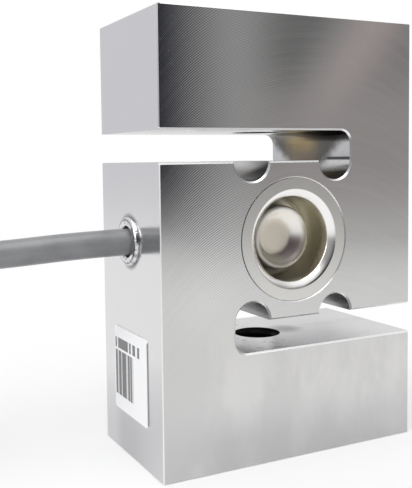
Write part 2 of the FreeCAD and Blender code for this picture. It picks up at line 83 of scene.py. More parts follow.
# The cable: its route to the hank, and the hank's two columns of turns
CABLE_R = 2.3 * MM
CABLE_ROUTE = [
    (-0.0190, 0.0, 0.0381),
    (-0.0330, 0.0, 0.0381),
    (-0.0480, 0.0030, 0.0368),
    (-0.0650, 0.0065, 0.0362),
    (-0.0820, 0.0065, 0.0362),
]
FOLD_R = (14.0 * MM, 18.8 * MM)
FOLD_STEPS = 8
RUN_SHARES = (0.12, 0.5, 0.88)
NEAR_FOLD_X = -81.2 * MM
FAR_FOLD_X = -137.2 * MM
HANK_Y = 20.5 * MM
TOP_LEVEL_Z = 36.2 * MM
BOTTOM_LEVEL_Z = 2.95 * MM
INNER_TURNS = 7
OUTER_TURNS = 6
OUTER_PITCH = 5.19 * MM
FREE_END_X = -96.0 * MM

# Load holes: an M10 x 1.5 thread, as a ridge on the bored wall
THREAD_R = 4.25 * MM
THREAD_PITCH = 1.5 * MM
THREAD_RIDGE = 0.35 * MM
THREAD_MOUTH = 0.9 * MM
THREAD_STEPS = 48
THREAD_ROOT_SHARE = 0.42
THREAD_CREST_SHARE = 0.07
THREAD_MARGIN_SHARE = 0.45
THREAD_LEAST_RIDGE = 0.02 * MM

# Milling marks on the front and rear faces: arcs of the cutter's own radius
MILL_R = 38.0 * MM
MILL_CENTRE_X = 4.0 * MM
MILL_TURN = 2 * math.pi / (0.42 * MM)
MILL_SLOPE = 0.024
BACK_CUT_SLOPE = 0.010

# The cups: radii from the bore's axis, and depths under the face
FORMED_R = (8.75 * MM, 8.55 * MM)
LIP_OUTER_R = 8.7 * MM
LIP_INNER_R = 7.42 * MM
LIP_WIDTH = 1.3 * MM
LIP_DEPTH = 1.35 * MM
PRESSED_R = (7.2 * MM, 6.8 * MM)
PRESS_BEND = 1.4 * MM
DISH_R = (5.4 * MM, 4.8 * MM)
DISH_FLOOR_R = (3.35 * MM, 3.05 * MM)
DISH_EASE = 0.5
RING_TURN = 2 * math.pi / (0.22 * MM)

# The gland: the grime and painted shade round it, and the painted dark ring on its flange
GRIME_SHADE_R = (4.25 * MM, 5.2 * MM)
DARK_RING_R = 3.75 * MM
DARK_RING_HALF = (0.22 * MM, 0.08 * MM)

# The label's print in millimetres: where each row starts and ends, and its bands' widths and gaps
BAR_ROWS = (9.95, 18.0)
BAR_START = 7.1
BAR_BANDS = ((0.9, 0.55), (1.15, 0.4), (1.9, 0.75), (0.85, 0.25), (0.7, 0.0))
BAR_BLUR = 0.12
BLOCK_ROWS = (18.45, 20.3)
BLOCK_START = 7.2
BLOCK_BANDS = ((0.7, 0.6), (4.6, 0.55), (0.8, 0.7), (1.2, 0.9), (0.9, 0.0))
BLOCK_BLUR = 0.1
TINT_END = -1.1
NEAR_EDGE = (-6.83, -6.93)
TOP_EDGE = (22.3, 22.4)

# Small pieces inside the block
WEAVE_TURN = 9000.0
STRAND_TURN = 9000.0
BOARD_FACE_Y = 0.52 * MM
GRID_TURN = 2 * math.pi / (0.3 * MM)
GRID_R = 9.25 * MM
CHIP_END_X = 1.25 * MM

# The table, and how far from its middle it goes over to plain white, seen directly and in the metal
TABLE_R = 0.40
PLAIN_FROM = (0.03, 0.11)
MIRROR_FROM = (0.02, 0.075)
DIMMED_FROM = (0.10, 0.60)
BEHIND_Y = (-0.02, 0.06)

# The studio: panels as (bearing in degrees, grey or colour), and bands by how far a ray rises
STUDIO_STRENGTH = 1.0
STUDIO_SEAM = 0.95
STUDIO_PANELS = [
    (-165, (0.74, 0.735, 0.765)), (-148, (0.78, 0.78, 0.80)), (-125, 1.0), (-100, 1.0), (-84, 0.8),
    (-78, 0.12), (-72, 0.12), (-66, 0.6), (-45, 0.34), (-20, 0.16), (10, 0.02), (24.5, (0.0, 0.0, 0.008)),
    (26, (0.095, 0.098, 0.110)), (28.5, 0.32), (31, 0.38), (34.5, 0.13), (37.5, 0.34),
    (39.5, (0.54, 0.46, 0.45)), (42.5, 0.25), (55, 0.42), (75, 0.75), (95, 1.0),
]
PANEL_LEAN = 0.6
LEAN_FROM = (32, 37)
LEAN_LEVEL = 0.14
LOW_PANEL_FROM = (30, 33)
LOW_PANEL_BAND = (0.13, 0.04)
LOW_BAND = (0.0, -0.24)
REAR_BAND = (0.0, -0.14)
REAR_RAY = (-0.1, 0.1)
OVERHEAD_BAND = (0.45, 0.85)
SOFTBOXES = [
    ("overhead_softbox", (-0.12, -0.10, 0.55), 0.45, 1.6),
    ("left_softbox", (-0.50, -0.15, 0.30), 0.35, 1.0),
]


# Node graphs
class Graph:
    """A material or world under construction, with short calls for the nodes it uses."""

    def __init__(self, owner):
        owner.use_nodes = True
        self.owner = owner
        self.tree = owner.node_tree
        self.tree.nodes.clear()

    def add(self, kind, inputs=None, **settings):
        node = self.tree.nodes.new(f"ShaderNode{kind}")
        for name, value in settings.items():
            setattr(node, name, value)
        for name, value in (inputs or {}).items():
            self.put(node.inputs[name], value)
        return node

    def put(self, socket, value):
        if isinstance(value, bpy.types.NodeSocket):
            self.tree.links.new(value, socket)
        else:
            socket.default_value = value

    def maths(self, operation, *values):
        node = self.add("Math", operation=operation)
        for socket, value in zip(node.inputs, values):
            self.put(socket, value)
        return node.outputs[0]

    def times(self, first, *others):
        """The product of two numbers or more."""
        for other in others:
            first = self.maths("MULTIPLY", first, other)
        return first

    def plus(self, a, b):
        return self.maths("ADD", a, b)

    def minus(self, a, b):
        return self.maths("SUBTRACT", a, b)

    def over(self, a, b):
        return self.maths("DIVIDE", a, b)

    def size(self, value):
        return self.maths("ABSOLUTE", value)

    def sign(self, value):
        return self.maths("SIGN", value)

    def larger(self, a, b):
        return self.maths("MAXIMUM", a, b)

    def above(self, value, limit):
        """1 where the value is over the limit, else 0."""
        return self.maths("GREATER_THAN", value, limit)

    def below(self, value, limit):
        """1 where the value is under the limit, else 0."""
        return self.maths("LESS_THAN", value, limit)

    def distance(self, a, b):
        """How far the point (a, b) is from (0, 0)."""
        return self.maths("SQRT", self.plus(self.times(a, a), self.times(b, b)))

    def vector(self, operation, *values):
        node = self.add("VectorMath", operation=operation)
        for socket, value in zip(node.inputs, values):
            self.put(socket, value)
        return node.outputs[0]

    def join(self, x=0.0, y=0.0, z=0.0):
        """A vector from its three parts."""
        return self.add("CombineXYZ", {0: x, 1: y, 2: z}).outputs[0]

    def parts(self, vector):
        """The three parts of a vector."""
        return list(self.add("SeparateXYZ", {0: vector}).outputs)

    def scaled(self, vector, number):
        return self.vector("MULTIPLY", vector, self.join(number, number, number))

    def where(self):
        """The point's place in the part, in metres."""
        return self.add("TexCoord").outputs["Object"]

    def blend(self, share, low, high, kind="FLOAT", ending="Float"):
        """A number between two others."""
        node = self.add("Mix", data_type=kind)
        sockets = {socket.identifier: socket for socket in node.inputs}
        for name, value in (("Factor_Float", share), (f"A_{ending}", low), (f"B_{ending}", high)):
            self.put(sockets[name], value)
        return next(socket for socket in node.outputs if socket.identifier == f"Result_{ending}")

    def mix(self, share, low, high):
        """A colour between two others."""
        return self.blend(share, rgba(low), rgba(high), "RGBA", "Color")

    def between(self, value, low, high, to_low=0.0, to_high=1.0):
        """A smooth step from one number to another as value goes from low to high."""
        node = self.add("MapRange", interpolation_type="SMOOTHSTEP")
        for socket, number in zip(node.inputs, (value, low, high, to_low, to_high)):
            self.put(socket, number)
        return node.outputs[0]

    def ramp(self, value, stops):
        """A number or colour read off stops of (place, grey or colour)."""
        node = self.add("ValToRGB", {"Fac": value})
        elements = node.color_ramp.elements
        while len(elements) < len(stops):
            elements.new(0.5)
        for element, (place, colour) in zip(elements, stops):
            element.position = place
            element.color = rgba(colour if isinstance(colour, tuple) else (colour, colour, colour))
        return node.outputs[0]

    def noise(self, vector, scale, detail=3.0, roughness=0.5, stretch=(1, 1, 1)):
        """Noise whose grain is 1 / scale metres, drawn out along the axes with a small stretch."""
        spread = self.vector("MULTIPLY", vector, stretch)
        inputs = {"Vector": spread, "Scale": scale, "Detail": detail, "Roughness": roughness}
        return self.add("TexNoise", inputs).outputs[0]

    def bump(self, height, depth, normal=None):
        """A surface normal with that height, 0 to 1, raised by depth metres."""
        node = self.add("Bump", {"Height": height, "Distance": depth, "Strength": 1.0})
        if normal is not None:
            self.put(node.inputs["Normal"], normal)
        return node.outputs[0]

    def finish(self, colour, rough, metal=0.0, normal=None):
        """The principled shader and the output."""
        shader = self.add("BsdfPrincipled", {"Base Color": rgba(colour), "Roughness": rough})
        shader.inputs["Metallic"].default_value = metal
        if normal is not None:
            self.put(shader.inputs["Normal"], normal)
        self.add("OutputMaterial", {"Surface": shader.outputs[0]})
        return self.owner


def rgba(colour):
    """A colour with its alpha. A node's output is passed on as it is."""
    return (*colour, 1.0) if isinstance(colour, tuple) else colour


def new_graph(name):
    return Graph(bpy.data.materials.new(name))


# The front's marks and its painted shade at the foot. Here and below, most pairs are the two places between
# which a mark comes or goes.
HATCH_X = (-18 * MM, 2 * MM)
HATCH_Z = (19 * MM, 31 * MM)
HATCH_EDGE_X = (0.5 * MM - HALF_WIDTH, 7.5 * MM - HALF_WIDTH)
STREAK_STRETCH = (40.0, 900.0)
STREAK_Z = (16 * MM, 30 * MM)
SMUDGE_Z = (27 * MM, 15 * MM)
FOOT_SHADE_Z = (12 * MM, 3.5 * MM)
FOOT_SHADE_X = (-22 * MM, -12 * MM)
NICK_EDGE_X = (4.0 * MM - HALF_WIDTH, 1.0 * MM - HALF_WIDTH)
NICK_LEVEL = (18 * MM, 30 * MM)

# The side's painted shade low down, and in the slots the pits, a darker corner, a spot of painted shade and
# the ceiling's painted highlight
LOW_SHADE_Z = (15 * MM, 4 * MM)
LOW_SHADE_NEAR_Y = (-11 * MM, 2 * MM)
LOW_SHADE_FAR_Y = (9 * MM, 4 * MM)
PITTED_X = (4.0 * MM, -3.0 * MM)
DARK_CORNER_X = (-6.0 * MM, -9.5 * MM)
DARK_CORNER_Y = (-5.5 * MM, -8.5 * MM)
SHADE_SPOT_X = 6.2 * MM
SHADE_SPOT_R = (4.4 * MM, 0.8 * MM)
CEILING_LEVEL = SLOT_OUTER - 0.05 * MM

# The painted shade in the reliefs, which reaches higher toward the front
SUNK_DEPTH = (0.3 * MM, 2.3 * MM)
NEAR_SHADE_Y = (-3 * MM, -12 * MM)
GLOOM_DEPTH = (1.6 * MM, 3.2 * MM)
GLOOM_Y = -6 * MM
GLOOM_LEAN = -0.35

# The painted reflection on the upper slot's end wall, wider toward the top, the painted shade along its top
# and the painted shade in the crease under it
REFLECTION_X = 9.0 * MM
REFLECTION_Y = 1.0 * MM
REFLECTION_LEVEL = (SLOT_INNER - 2.5 * MM, SLOT_OUTER)
REFLECTION_HALF = (4.6 * MM, 12.0 * MM)
REFLECTION_FADE = (2.0 * MM, -2.5 * MM)
REFLECTION_WANDER = 3 * MM
CORE_Y = 2.4 * MM
CORE_FADE = (1.5 * MM, 7.5 * MM)
CORE_FOOT = (16.4 * MM, 14.4 * MM)
TOP_SHADE_LEVEL = (SLOT_OUTER - 1.4 * MM, SLOT_OUTER - 0.3 * MM)
NOOK_Y = (-3.5 * MM, -7.5 * MM)
CREASE_LEVEL = 13.8 * MM
CREASE_HALF = (0.34 * MM, 0.14 * MM)
CREASE_Y = (-4.5 * MM, -6.5 * MM)

# The chamfers: how far each faces up, down or left, and where they differ
FACING_UP = (0.3, 0.6)
FACING_DOWN = (-0.15, -0.45)
FACING_LEFT = (-0.35, -0.62)
LOWER_EDGE_LEVEL = (0.0, -8 * MM)
INNER_EDGE_X = HALF_WIDTH - 2 * MM
DARK_CHAMFER_LEVEL = (18.9 * MM, 19.1 * MM)
DARK_CHAMFER_X = 0.6 * MM - HALF_WIDTH


def block_spot(g):
    """A point's place on the block, and 0 or 1 for each kind of face that it may lie on."""
    where = g.where()
    x, y, z = g.parts(where)
    turned = g.parts(g.add("NewGeometry").outputs["True Normal"])
    facing = [g.size(part) for part in turned]
    off_middle = g.minus(z, MID_Z)
    height = g.size(off_middle)
    outside = g.above(g.size(y), HALF_DEPTH - FRONT_MARGIN)
    front = g.times(g.above(facing[1], SQUARE), outside)
    side = g.times(g.above(facing[0], SQUARE), g.above(g.size(x), HALF_WIDTH - FACE_MARGIN))
    end = g.times(g.above(facing[2], SQUARE), g.above(height, MID_Z - FACE_MARGIN))
    from_relief = g.distance(g.minus(g.size(x), RELIEF_X), g.minus(height, SLOT_INNER))
    return SimpleNamespace(
        where=where, x=x, y=y, z=z, turned=turned, off_middle=off_middle, height=height,
        clouds=g.noise(where, 55.0, 3.0, 0.55, (1.0, 1.0, 0.45)),
        specks=g.noise(where, 700.0, 3.0, 0.6),
        upper=g.above(off_middle, 0.0),
        front=front,
        chamfer=g.times(g.above(facing[1], SLANTED), g.minus(outside, front)),
        side=side,
        side_or_end=g.larger(side, end),
        relief=g.times(g.below(from_relief, RELIEF_R + 0.1 * MM), g.below(height, SLOT_INNER)),
        hole=g.below(g.distance(x, y), THREAD_R + 0.05 * MM),
        grime_and_shade=g.times(g.between(g.distance(y, off_middle), *GRIME_SHADE_R, 0.7, 0.0), g.below(x, 0.0)),
    )


def cutter_arc(g, spot, side):
    """Where a point lies on the face mill's arcs, side +1 or -1 for its halves: across, level and slant."""
    across = g.minus(spot.x, MILL_CENTRE_X)
    rise = g.maths("SQRT", g.minus(MILL_R ** 2, g.times(across, across)))
    level = g.minus(spot.z, g.times(rise, side))
    return across, level, g.times(g.over(across, rise), side)


def cutter_slope(g, level, slant, steepness):
    """The slope of the fine ridges that one pass of the face mill leaves."""
    slope = g.times(g.maths("COSINE", g.times(level, MILL_TURN)), steepness)
    return g.join(g.times(slope, slant), 0.0, slope)


def milled_front(g, spot):
    """The front's colour and normal, and its streaks: ridges on arcs, strongest at the upper left."""
    patches = g.times(
        g.between(g.noise(spot.where, 90.0, 2.0), 0.25, 0.65, 0.6, 1.0),
        g.between(spot.x, *HATCH_X, 1.0, 0.15),
        g.between(spot.z, *HATCH_Z, 0.12, 1.0),
        g.between(spot.x, *HATCH_EDGE_X, 0.3, 1.0),
    )
    across, level, slant = cutter_arc(g, spot, 1)
    back_level, back_slant = cutter_arc(g, spot, -1)[1:]
    cut = cutter_slope(g, level, slant, MILL_SLOPE)
    back_cut = cutter_slope(g, back_level, back_slant, BACK_CUT_SLOPE)
    ridges = g.scaled(g.scaled(g.vector("ADD", cut, back_cut), patches), spot.front)
    fine = g.bump(g.noise(spot.where, 9000.0, 3.0, 0.6), 0.0010 * MM)
    normal = g.vector("NORMALIZE", g.vector("SUBTRACT", fine, ridges))
    along_arc, over_arc = STREAK_STRETCH
    streaks = g.noise(g.join(g.times(across, along_arc), 0.0, g.times(level, over_arc)), 1.0, 3.0, 0.6)

    colour = g.mix(spot.clouds, (0.61, 0.605, 0.60), (0.67, 0.665, 0.66))
    streaked = g.times(g.between(streaks, 0.35, 0.75, 0.0, 0.12), g.between(spot.z, *STREAK_Z, 0.25, 1.0))
    colour = g.mix(streaked, colour, (0.86, 0.86, 0.86))
    crest = g.maths("SINE", g.times(level, MILL_TURN))
    worn = g.times(g.between(crest, -0.6, 1.0, 0.0, 0.45), patches)
    colour = g.mix(worn, colour, (0.95, 0.95, 0.95))
    smudges = g.between(g.noise(spot.where, 130.0, 4.0, 0.6, (1.0, 1.0, 0.45)), 0.40, 0.66, 0.0, 0.24)
    smudges = g.times(smudges, g.between(spot.z, *SMUDGE_Z))
    colour = g.mix(smudges, colour, (0.93, 0.925, 0.91))
    # Painted shade: darker toward the foot, most on the left.
    foot_shade = g.times(g.between(spot.z, *FOOT_SHADE_Z, 0.0, 0.27), g.between(spot.x, *FOOT_SHADE_X, 0.45, 1.0))
    colour = g.mix(foot_shade, colour, (0.35, 0.34, 0.36))
    nicks = g.times(
        g.between(g.noise(spot.where, 2100.0, 2.0), 0.64, 0.70),
        g.between(spot.x, *NICK_EDGE_X),
        g.between(spot.off_middle, *NICK_LEVEL, 0.0, 0.8),
    )
    return g.mix(nicks, colour, (0.97, 0.97, 0.97)), normal, streaks


def flank_colour(g, spot):
    """The sides and ends: clouded, with painted shade low down, and grime with painted shade round the gland.
    """
    colour = g.mix(spot.clouds, (0.69, 0.69, 0.70), (0.74, 0.74, 0.75))
    # Painted shade: darker low down, most in the middle of the side.
    low_shade = g.times(
        g.between(spot.z, *LOW_SHADE_Z, 0.0, 0.40),
        g.between(spot.y, *LOW_SHADE_NEAR_Y, 0.35, 1.0),
        g.between(spot.y, *LOW_SHADE_FAR_Y, 0.1, 1.0),
    )
    colour = g.mix(low_shade, colour, (0.36, 0.36, 0.37))
    # Grime with painted shade: darker round the gland's foot.
    return g.mix(spot.grime_and_shade, colour, (0.14, 0.14, 0.14))


def relief_colour(g, spot):
    """The reliefs: painted shade that grows the deeper they go, and near-black painted shade in the upper
    left one near the front.
    """
    colour = g.mix(spot.specks, (0.60, 0.595, 0.59), (0.74, 0.73, 0.72))
    upper_left = g.times(g.below(spot.x, 0.0), spot.upper)
    # Painted shade: the upper left relief darker toward the front.
    near_shade = g.times(upper_left, g.between(spot.y, *NEAR_SHADE_Y, 0.0, 0.8))
    colour = g.mix(near_shade, colour, (0.13, 0.125, 0.12))
    sunk = g.minus(SLOT_INNER, spot.height)
    # Painted shade: darker the deeper into the relief.
    colour = g.mix(g.between(sunk, *SUNK_DEPTH, 0.0, 0.88), colour, (0.13, 0.125, 0.12))
    # Painted shade, near black, reaching higher toward the front.
    gloom = g.plus(sunk, g.times(g.minus(spot.y, GLOOM_Y), GLOOM_LEAN))
    gloom = g.times(upper_left, g.between(gloom, *GLOOM_DEPTH, 0.0, 0.97))
    return g.mix(gloom, colour, (0.012, 0.012, 0.012))


def end_wall_reflection(g, spot, top_shade):
    """The painted reflection on the upper slot's end wall: how strong it is, and its colour, brown in the
    middle.
    """
    wander = g.times(g.minus(spot.specks, 0.5), REFLECTION_WANDER)
    half = g.between(spot.height, *REFLECTION_LEVEL, *REFLECTION_HALF)
    off_reflection = g.minus(g.size(g.plus(g.minus(spot.y, REFLECTION_Y), wander)), half)
    off_core = g.size(g.plus(g.minus(spot.y, CORE_Y), wander))
    strength = g.times(g.between(off_reflection, *REFLECTION_FADE), g.above(spot.x, REFLECTION_X), spot.upper, 0.92)
    core = g.mix(g.noise(spot.where, 300.0, 3.0, 0.6), (0.205, 0.152, 0.064), (0.315, 0.24, 0.105))
    core = g.mix(g.between(spot.height, *CORE_FOOT, 0.0, 0.85), core, (0.155, 0.122, 0.088))
    core = g.mix(spot.relief, core, (0.085, 0.083, 0.08))
    core = g.mix(g.times(top_shade, 0.5), core, (0.10, 0.085, 0.055))
    return strength, g.mix(g.between(off_core, *CORE_FADE), core, (0.075, 0.071, 0.064))


def slot_colour(g, spot):
    """The slots' walls: soiled and pitted, a painted highlight under the upper arm, a spot of painted shade
    in the lower slot, and a painted reflection and painted shade at the upper slot's end.
    """
    colour = g.mix(g.between(spot.clouds, 0.35, 0.7), (0.58, 0.58, 0.59), (0.66, 0.66, 0.67))
    soil = g.between(g.noise(spot.where, 130.0, 4.0, 0.6, (0.6, 1.6, 1.0)), 0.52, 0.75, 0.0, 0.45)
    colour = g.mix(soil, colour, (0.42, 0.39, 0.37))
    pitted = g.between(g.noise(spot.where, 750.0, 3.0, 0.6), 0.56, 0.68, 0.0, 0.75)
    pitted = g.times(pitted, g.between(spot.x, *PITTED_X))
    colour = g.mix(pitted, colour, (0.16, 0.16, 0.165))
    corner = g.times(g.between(spot.x, *DARK_CORNER_X), g.between(spot.y, *DARK_CORNER_Y, 0.0, 0.7))
    colour = g.mix(corner, colour, (0.20, 0.205, 0.21))
    # Painted shade: a dark spot on the lower slot's walls, right of the hole.
    shade_spot = g.between(g.distance(g.minus(spot.x, SHADE_SPOT_X), spot.y), *SHADE_SPOT_R, 0.0, 0.75)
    shade_spot = g.times(shade_spot, g.below(spot.z, MID_Z))
    colour = g.mix(shade_spot, colour, (0.12, 0.12, 0.12))
    colour = g.mix(spot.relief, colour, relief_colour(g, spot))
    # Painted highlight: the ceiling under the upper arm made light.
    colour = g.mix(g.above(spot.off_middle, CEILING_LEVEL), colour, (0.88, 0.88, 0.88))

    # Painted shade: darker along the top of the slot's right-hand end.
    top_shade = g.times(g.between(spot.height, *TOP_SHADE_LEVEL), g.above(spot.x, 0.0))
    # Painted reflection: an olive-brown patch on the upper slot's end wall.
    strength, tint = end_wall_reflection(g, spot, top_shade)
    colour = g.mix(strength, colour, tint)
    end_wall = g.times(g.above(spot.x, SLOT_WALL_X), spot.upper)
    # Painted shade: near black in the end wall's top front corner.
    nook = g.times(top_shade, end_wall, g.between(spot.y, *NOOK_Y))
    colour = g.mix(nook, colour, (0.03, 0.03, 0.03))
    # Painted shade: a dark line in the crease just above the slot's floor, toward the front.
    off_crease = g.size(g.minus(spot.off_middle, CREASE_LEVEL))
    crease_shade = g.times(g.between(off_crease, *CREASE_HALF), end_wall, g.between(spot.y, *CREASE_Y, 0.0, 0.9))
    return g.mix(crease_shade, colour, (0.05, 0.05, 0.05))


def chamfer_colour(g, spot):
    """The chamfers: a painted highlight where they face up or down, painted shade where they face left,
    darker at one corner.
    """
    facing_x, facing_z = spot.turned[0], spot.turned[2]
    # Painted light and shade: a little darker on the lower edges, a highlight where they face up or under the
    # upper arm, shade where inner edges face left.
    colour = g.mix(g.between(spot.off_middle, *LOWER_EDGE_LEVEL), (0.86, 0.86, 0.855), (0.97, 0.97, 0.97))
    colour = g.mix(g.between(facing_z, *FACING_UP), colour, (0.99, 0.99, 0.99))
    under_arm = g.times(g.between(facing_z, *FACING_DOWN), spot.upper)
    colour = g.mix(under_arm, colour, (0.99, 0.99, 0.99))
    inner_edge = g.below(g.size(spot.x), INNER_EDGE_X)
    leftward = g.times(g.between(facing_x, *FACING_LEFT), inner_edge, g.minus(1.0, under_arm))
    colour = g.mix(leftward, colour, (0.33, 0.33, 0.33))
    corner = g.times(g.between(spot.off_middle, *DARK_CHAMFER_LEVEL), g.below(spot.x, DARK_CHAMFER_X))
    return g.mix(corner, colour, (0.34, 0.34, 0.34))


def milled_nickel():
    """The block: nickel plate over milled steel, with a finish of its own on each kind of face, and painted
    light and shade on several.
    """
    g = new_graph("nickel_plated_steel")
    spot = block_spot(g)
    front, normal, streaks = milled_front(g, spot)
    colour = g.mix(spot.side_or_end, slot_colour(g, spot), flank_colour(g, spot))
    colour = g.mix(spot.front, colour, front)
    colour = g.mix(spot.chamfer, colour, chamfer_colour(g, spot))
    # Painted shade: dark in the load holes.
    colour = g.mix(spot.hole, colour, (0.10, 0.10, 0.10))

    slot_rough = g.between(spot.clouds, 0.2, 0.8, 0.20, 0.26)
    rough = g.blend(spot.relief, slot_rough, g.between(spot.specks, 0.2, 0.8, 0.18, 0.26))
    rough = g.blend(spot.side_or_end, rough, g.between(spot.clouds, 0.2, 0.8, 0.13, 0.19))
    rough = g.plus(rough, g.times(spot.grime_and_shade, spot.side, 0.3))
    rough = g.blend(spot.front, rough, g.between(streaks, 0.2, 0.8, 0.07, 0.11))
    rough = g.blend(spot.chamfer, rough, 0.4)
    rough = g.blend(spot.hole, rough, 0.5)
    return g.finish(colour, rough, 1.0, normal)


# The seal cups' sheet: how far the lip has rolled over, in quarter turns, and the roughness, painted
# highlights, reflection and shade on the middle
LIP_ROLL = [(0.0, 0.0), (0.15, 0.20), (0.32, 0.34), (0.60, 0.42), (0.93, 0.46), (1.0, 0.90)]
DULL_R = (7.6 * MM, 7.2 * MM)
BRIGHT_SIDE_WAY = (1.0, 1.7)
BRIGHT_SIDE = (0.0, 5.0 * MM)
DARK_REFLECTION_WAY = (0.67, -0.743)
DARK_REFLECTION_R = (5.4 * MM, 4.0 * MM)
DARK_REFLECTION_INNER_R = (2.8 * MM, 3.3 * MM)
LOWER_LEFT_SHADE_WAY = (-0.5, -0.866)
LOWER_LEFT_SHADE_INNER_R = (3.0 * MM, 3.5 * MM)
CREST_R = (4.4 * MM, 4.9 * MM)
CREST_X = (1.5 * MM, 3.5 * MM)
CREST_UP = (3.5 * MM, 1.0 * MM)
TROUGH_DEPTH = (1.2 * MM, 3.5 * MM)
TROUGH_R = (5.0 * MM, 5.6 * MM)
TROUGH_WIDTH = 15 * MM
TROUGH_SHADES = [
    (0.0, (0.60, 0.585, 0.55)), (0.33, (0.60, 0.585, 0.55)), (0.52, (0.42, 0.41, 0.385)),
    (0.63, (0.46, 0.45, 0.41)), (0.87, (0.88, 0.85, 0.75)), (1.0, (0.84, 0.81, 0.70)),
]


def cup_spot(g):
    """A point's place on a cup, and how far it lies in the formed middle, the dish and the lip."""
    where = g.where()
    x, y, z = g.parts(where)
    up = g.minus(z, MID_Z)
    radius = g.distance(x, up)
    depth = g.minus(HALF_DEPTH, g.size(y))
    lip = g.times(g.below(radius, LIP_OUTER_R), g.above(radius, LIP_INNER_R), g.below(depth, LIP_DEPTH))
    return SimpleNamespace(
        where=where, x=x, up=up, radius=radius, depth=depth, lip=lip, outward=g.sign(y),
        clouds=g.noise(where, 160.0, 3.0),
        formed=g.between(radius, *FORMED_R),
        dish=g.between(radius, *DISH_R),
    )


def cup_normal(g, spot):
    """Softly pressed in the middle, eased in the dish, rolled over the lip, with faint press rings."""
    flat = g.join(0.0, spot.outward, 0.0)
    pressed = g.add("Bevel", {"Radius": PRESS_BEND}, samples=8).outputs[0]
    normal = g.mix(g.between(spot.radius, *PRESSED_R), g.add("NewGeometry").outputs["Normal"], pressed)
    normal = g.vector("NORMALIZE", g.mix(g.times(spot.dish, DISH_EASE), normal, flat))
    roll = g.ramp(g.over(g.minus(LIP_OUTER_R, spot.radius), LIP_WIDTH), LIP_ROLL)
    roll = g.times(roll, math.pi / 2)
    inward = g.over(g.maths("SINE", roll), g.times(spot.radius, -1.0))
    rolled = g.join(
        g.times(spot.x, inward), g.times(g.maths("COSINE", roll), spot.outward), g.times(spot.up, inward))
    rings = g.maths("SINE", g.times(spot.radius, RING_TURN))
    grain = g.noise(spot.where, 12000.0, 2.0)
    return g.bump(rings, 0.0004 * MM, g.bump(grain, 0.0010 * MM, g.mix(spot.lip, normal, rolled)))


def toward(g, spot, way):
    """How far a point lies that way from the cup's middle."""
    return g.plus(g.times(spot.x, way[0]), g.times(spot.up, way[1]))


def formed_colour(g, spot):
    """The formed middle: creamy, with a painted highlight on one side of the dish, a brown painted reflection
    and painted shade in the dish, painted shade on the crest, a painted highlight on the lip and a trough in
    painted shade.
    """
    x, up, radius, dish = spot.x, spot.up, spot.radius, spot.dish
    colour = g.mix(spot.clouds, (0.84, 0.82, 0.76), (0.90, 0.88, 0.82))
    # Painted highlight: lighter on the dish's upper right.
    bright_side = g.between(toward(g, spot, BRIGHT_SIDE_WAY), *BRIGHT_SIDE)
    colour = g.mix(g.times(dish, bright_side), colour, (0.99, 0.97, 0.92))
    colour = g.mix(g.between(radius, *DISH_FLOOR_R), colour, (0.92, 0.865, 0.75))
    # Painted reflection: a dark brownish patch on the dish's lower right.
    dark_reflection = g.times(
        g.between(g.over(toward(g, spot, DARK_REFLECTION_WAY), radius), 0.50, 0.88, 0.0, 0.9),
        g.between(radius, *DARK_REFLECTION_R),
        g.between(radius, *DARK_REFLECTION_INNER_R),
    )
    colour = g.mix(dark_reflection, colour, (0.30, 0.23, 0.235))
    # Painted shade: darker olive on the dish's lower left.
    lower_left_shade = g.times(
        g.between(g.over(toward(g, spot, LOWER_LEFT_SHADE_WAY), radius), 0.55, 0.90, 0.0, 0.9),
        dish,
        g.between(radius, *LOWER_LEFT_SHADE_INNER_R),
    )
    colour = g.mix(lower_left_shade, colour, (0.40, 0.39, 0.33))
    # Painted shade: darker on the crest's right and lower right.
    crest = g.times(
        g.between(radius, *CREST_R), g.between(x, *CREST_X, 0.0, 0.9), g.between(up, *CREST_UP))
    colour = g.mix(crest, colour, (0.60, 0.53, 0.44))
    # Painted highlight: near white all round the lip.
    colour = g.mix(spot.lip, colour, (0.97, 0.96, 0.94))
    # Painted shade in the trough: darkest just right of the middle, light on the right.
    trough = g.times(g.between(spot.depth, *TROUGH_DEPTH), g.between(radius, *TROUGH_R))
    return g.mix(trough, colour, g.ramp(g.plus(g.over(x, TROUGH_WIDTH), 0.5), TROUGH_SHADES))


def cup_steel():
    """Drawn sheet: a ground flange, and a creamy satin with faint press rings on the formed middle."""
    g = new_graph("cup_steel")
    spot = cup_spot(g)
    flange = g.mix(spot.clouds, (0.72, 0.715, 0.69), (0.78, 0.775, 0.75))
    colour = g.mix(spot.formed, flange, formed_colour(g, spot))
    dull = g.between(spot.radius, *DULL_R, 0.17, 0.40)
    rough = g.blend(spot.formed, g.between(spot.clouds, 0.2, 0.8, 0.17, 0.22), dull)
    return g.finish(colour, rough, 1.0, cup_normal(g, spot))


# Other metals
def bright_chrome():
    """The gland's flange: bright plate with a painted dark reflection in a ring, and dull spots."""
    g = new_graph("bright_chrome")
    where = g.where()
    y, z = g.parts(where)[1:]
    clouds = g.noise(where, 400.0, 2.0)
    spots = g.between(g.noise(where, 1100.0, 3.0, 0.6), 0.48, 0.62, 0.0, 0.75)
    colour = g.mix(clouds, (0.66, 0.66, 0.675), (0.80, 0.80, 0.81))
    colour = g.mix(spots, colour, (0.22, 0.22, 0.23))
    # Painted reflection: a dark ring on the flange.
    off_dark_ring = g.size(g.minus(g.distance(y, g.minus(z, MID_Z)), DARK_RING_R))
    colour = g.mix(g.between(off_dark_ring, *DARK_RING_HALF, 0.0, 0.65), colour, (0.12, 0.12, 0.125))
    dings = g.bump(g.noise(where, 1300.0, 3.0, 0.6), 0.09 * MM)
    return g.finish(colour, g.between(clouds, 0.2, 0.8, 0.05, 0.12), 1.0, dings)


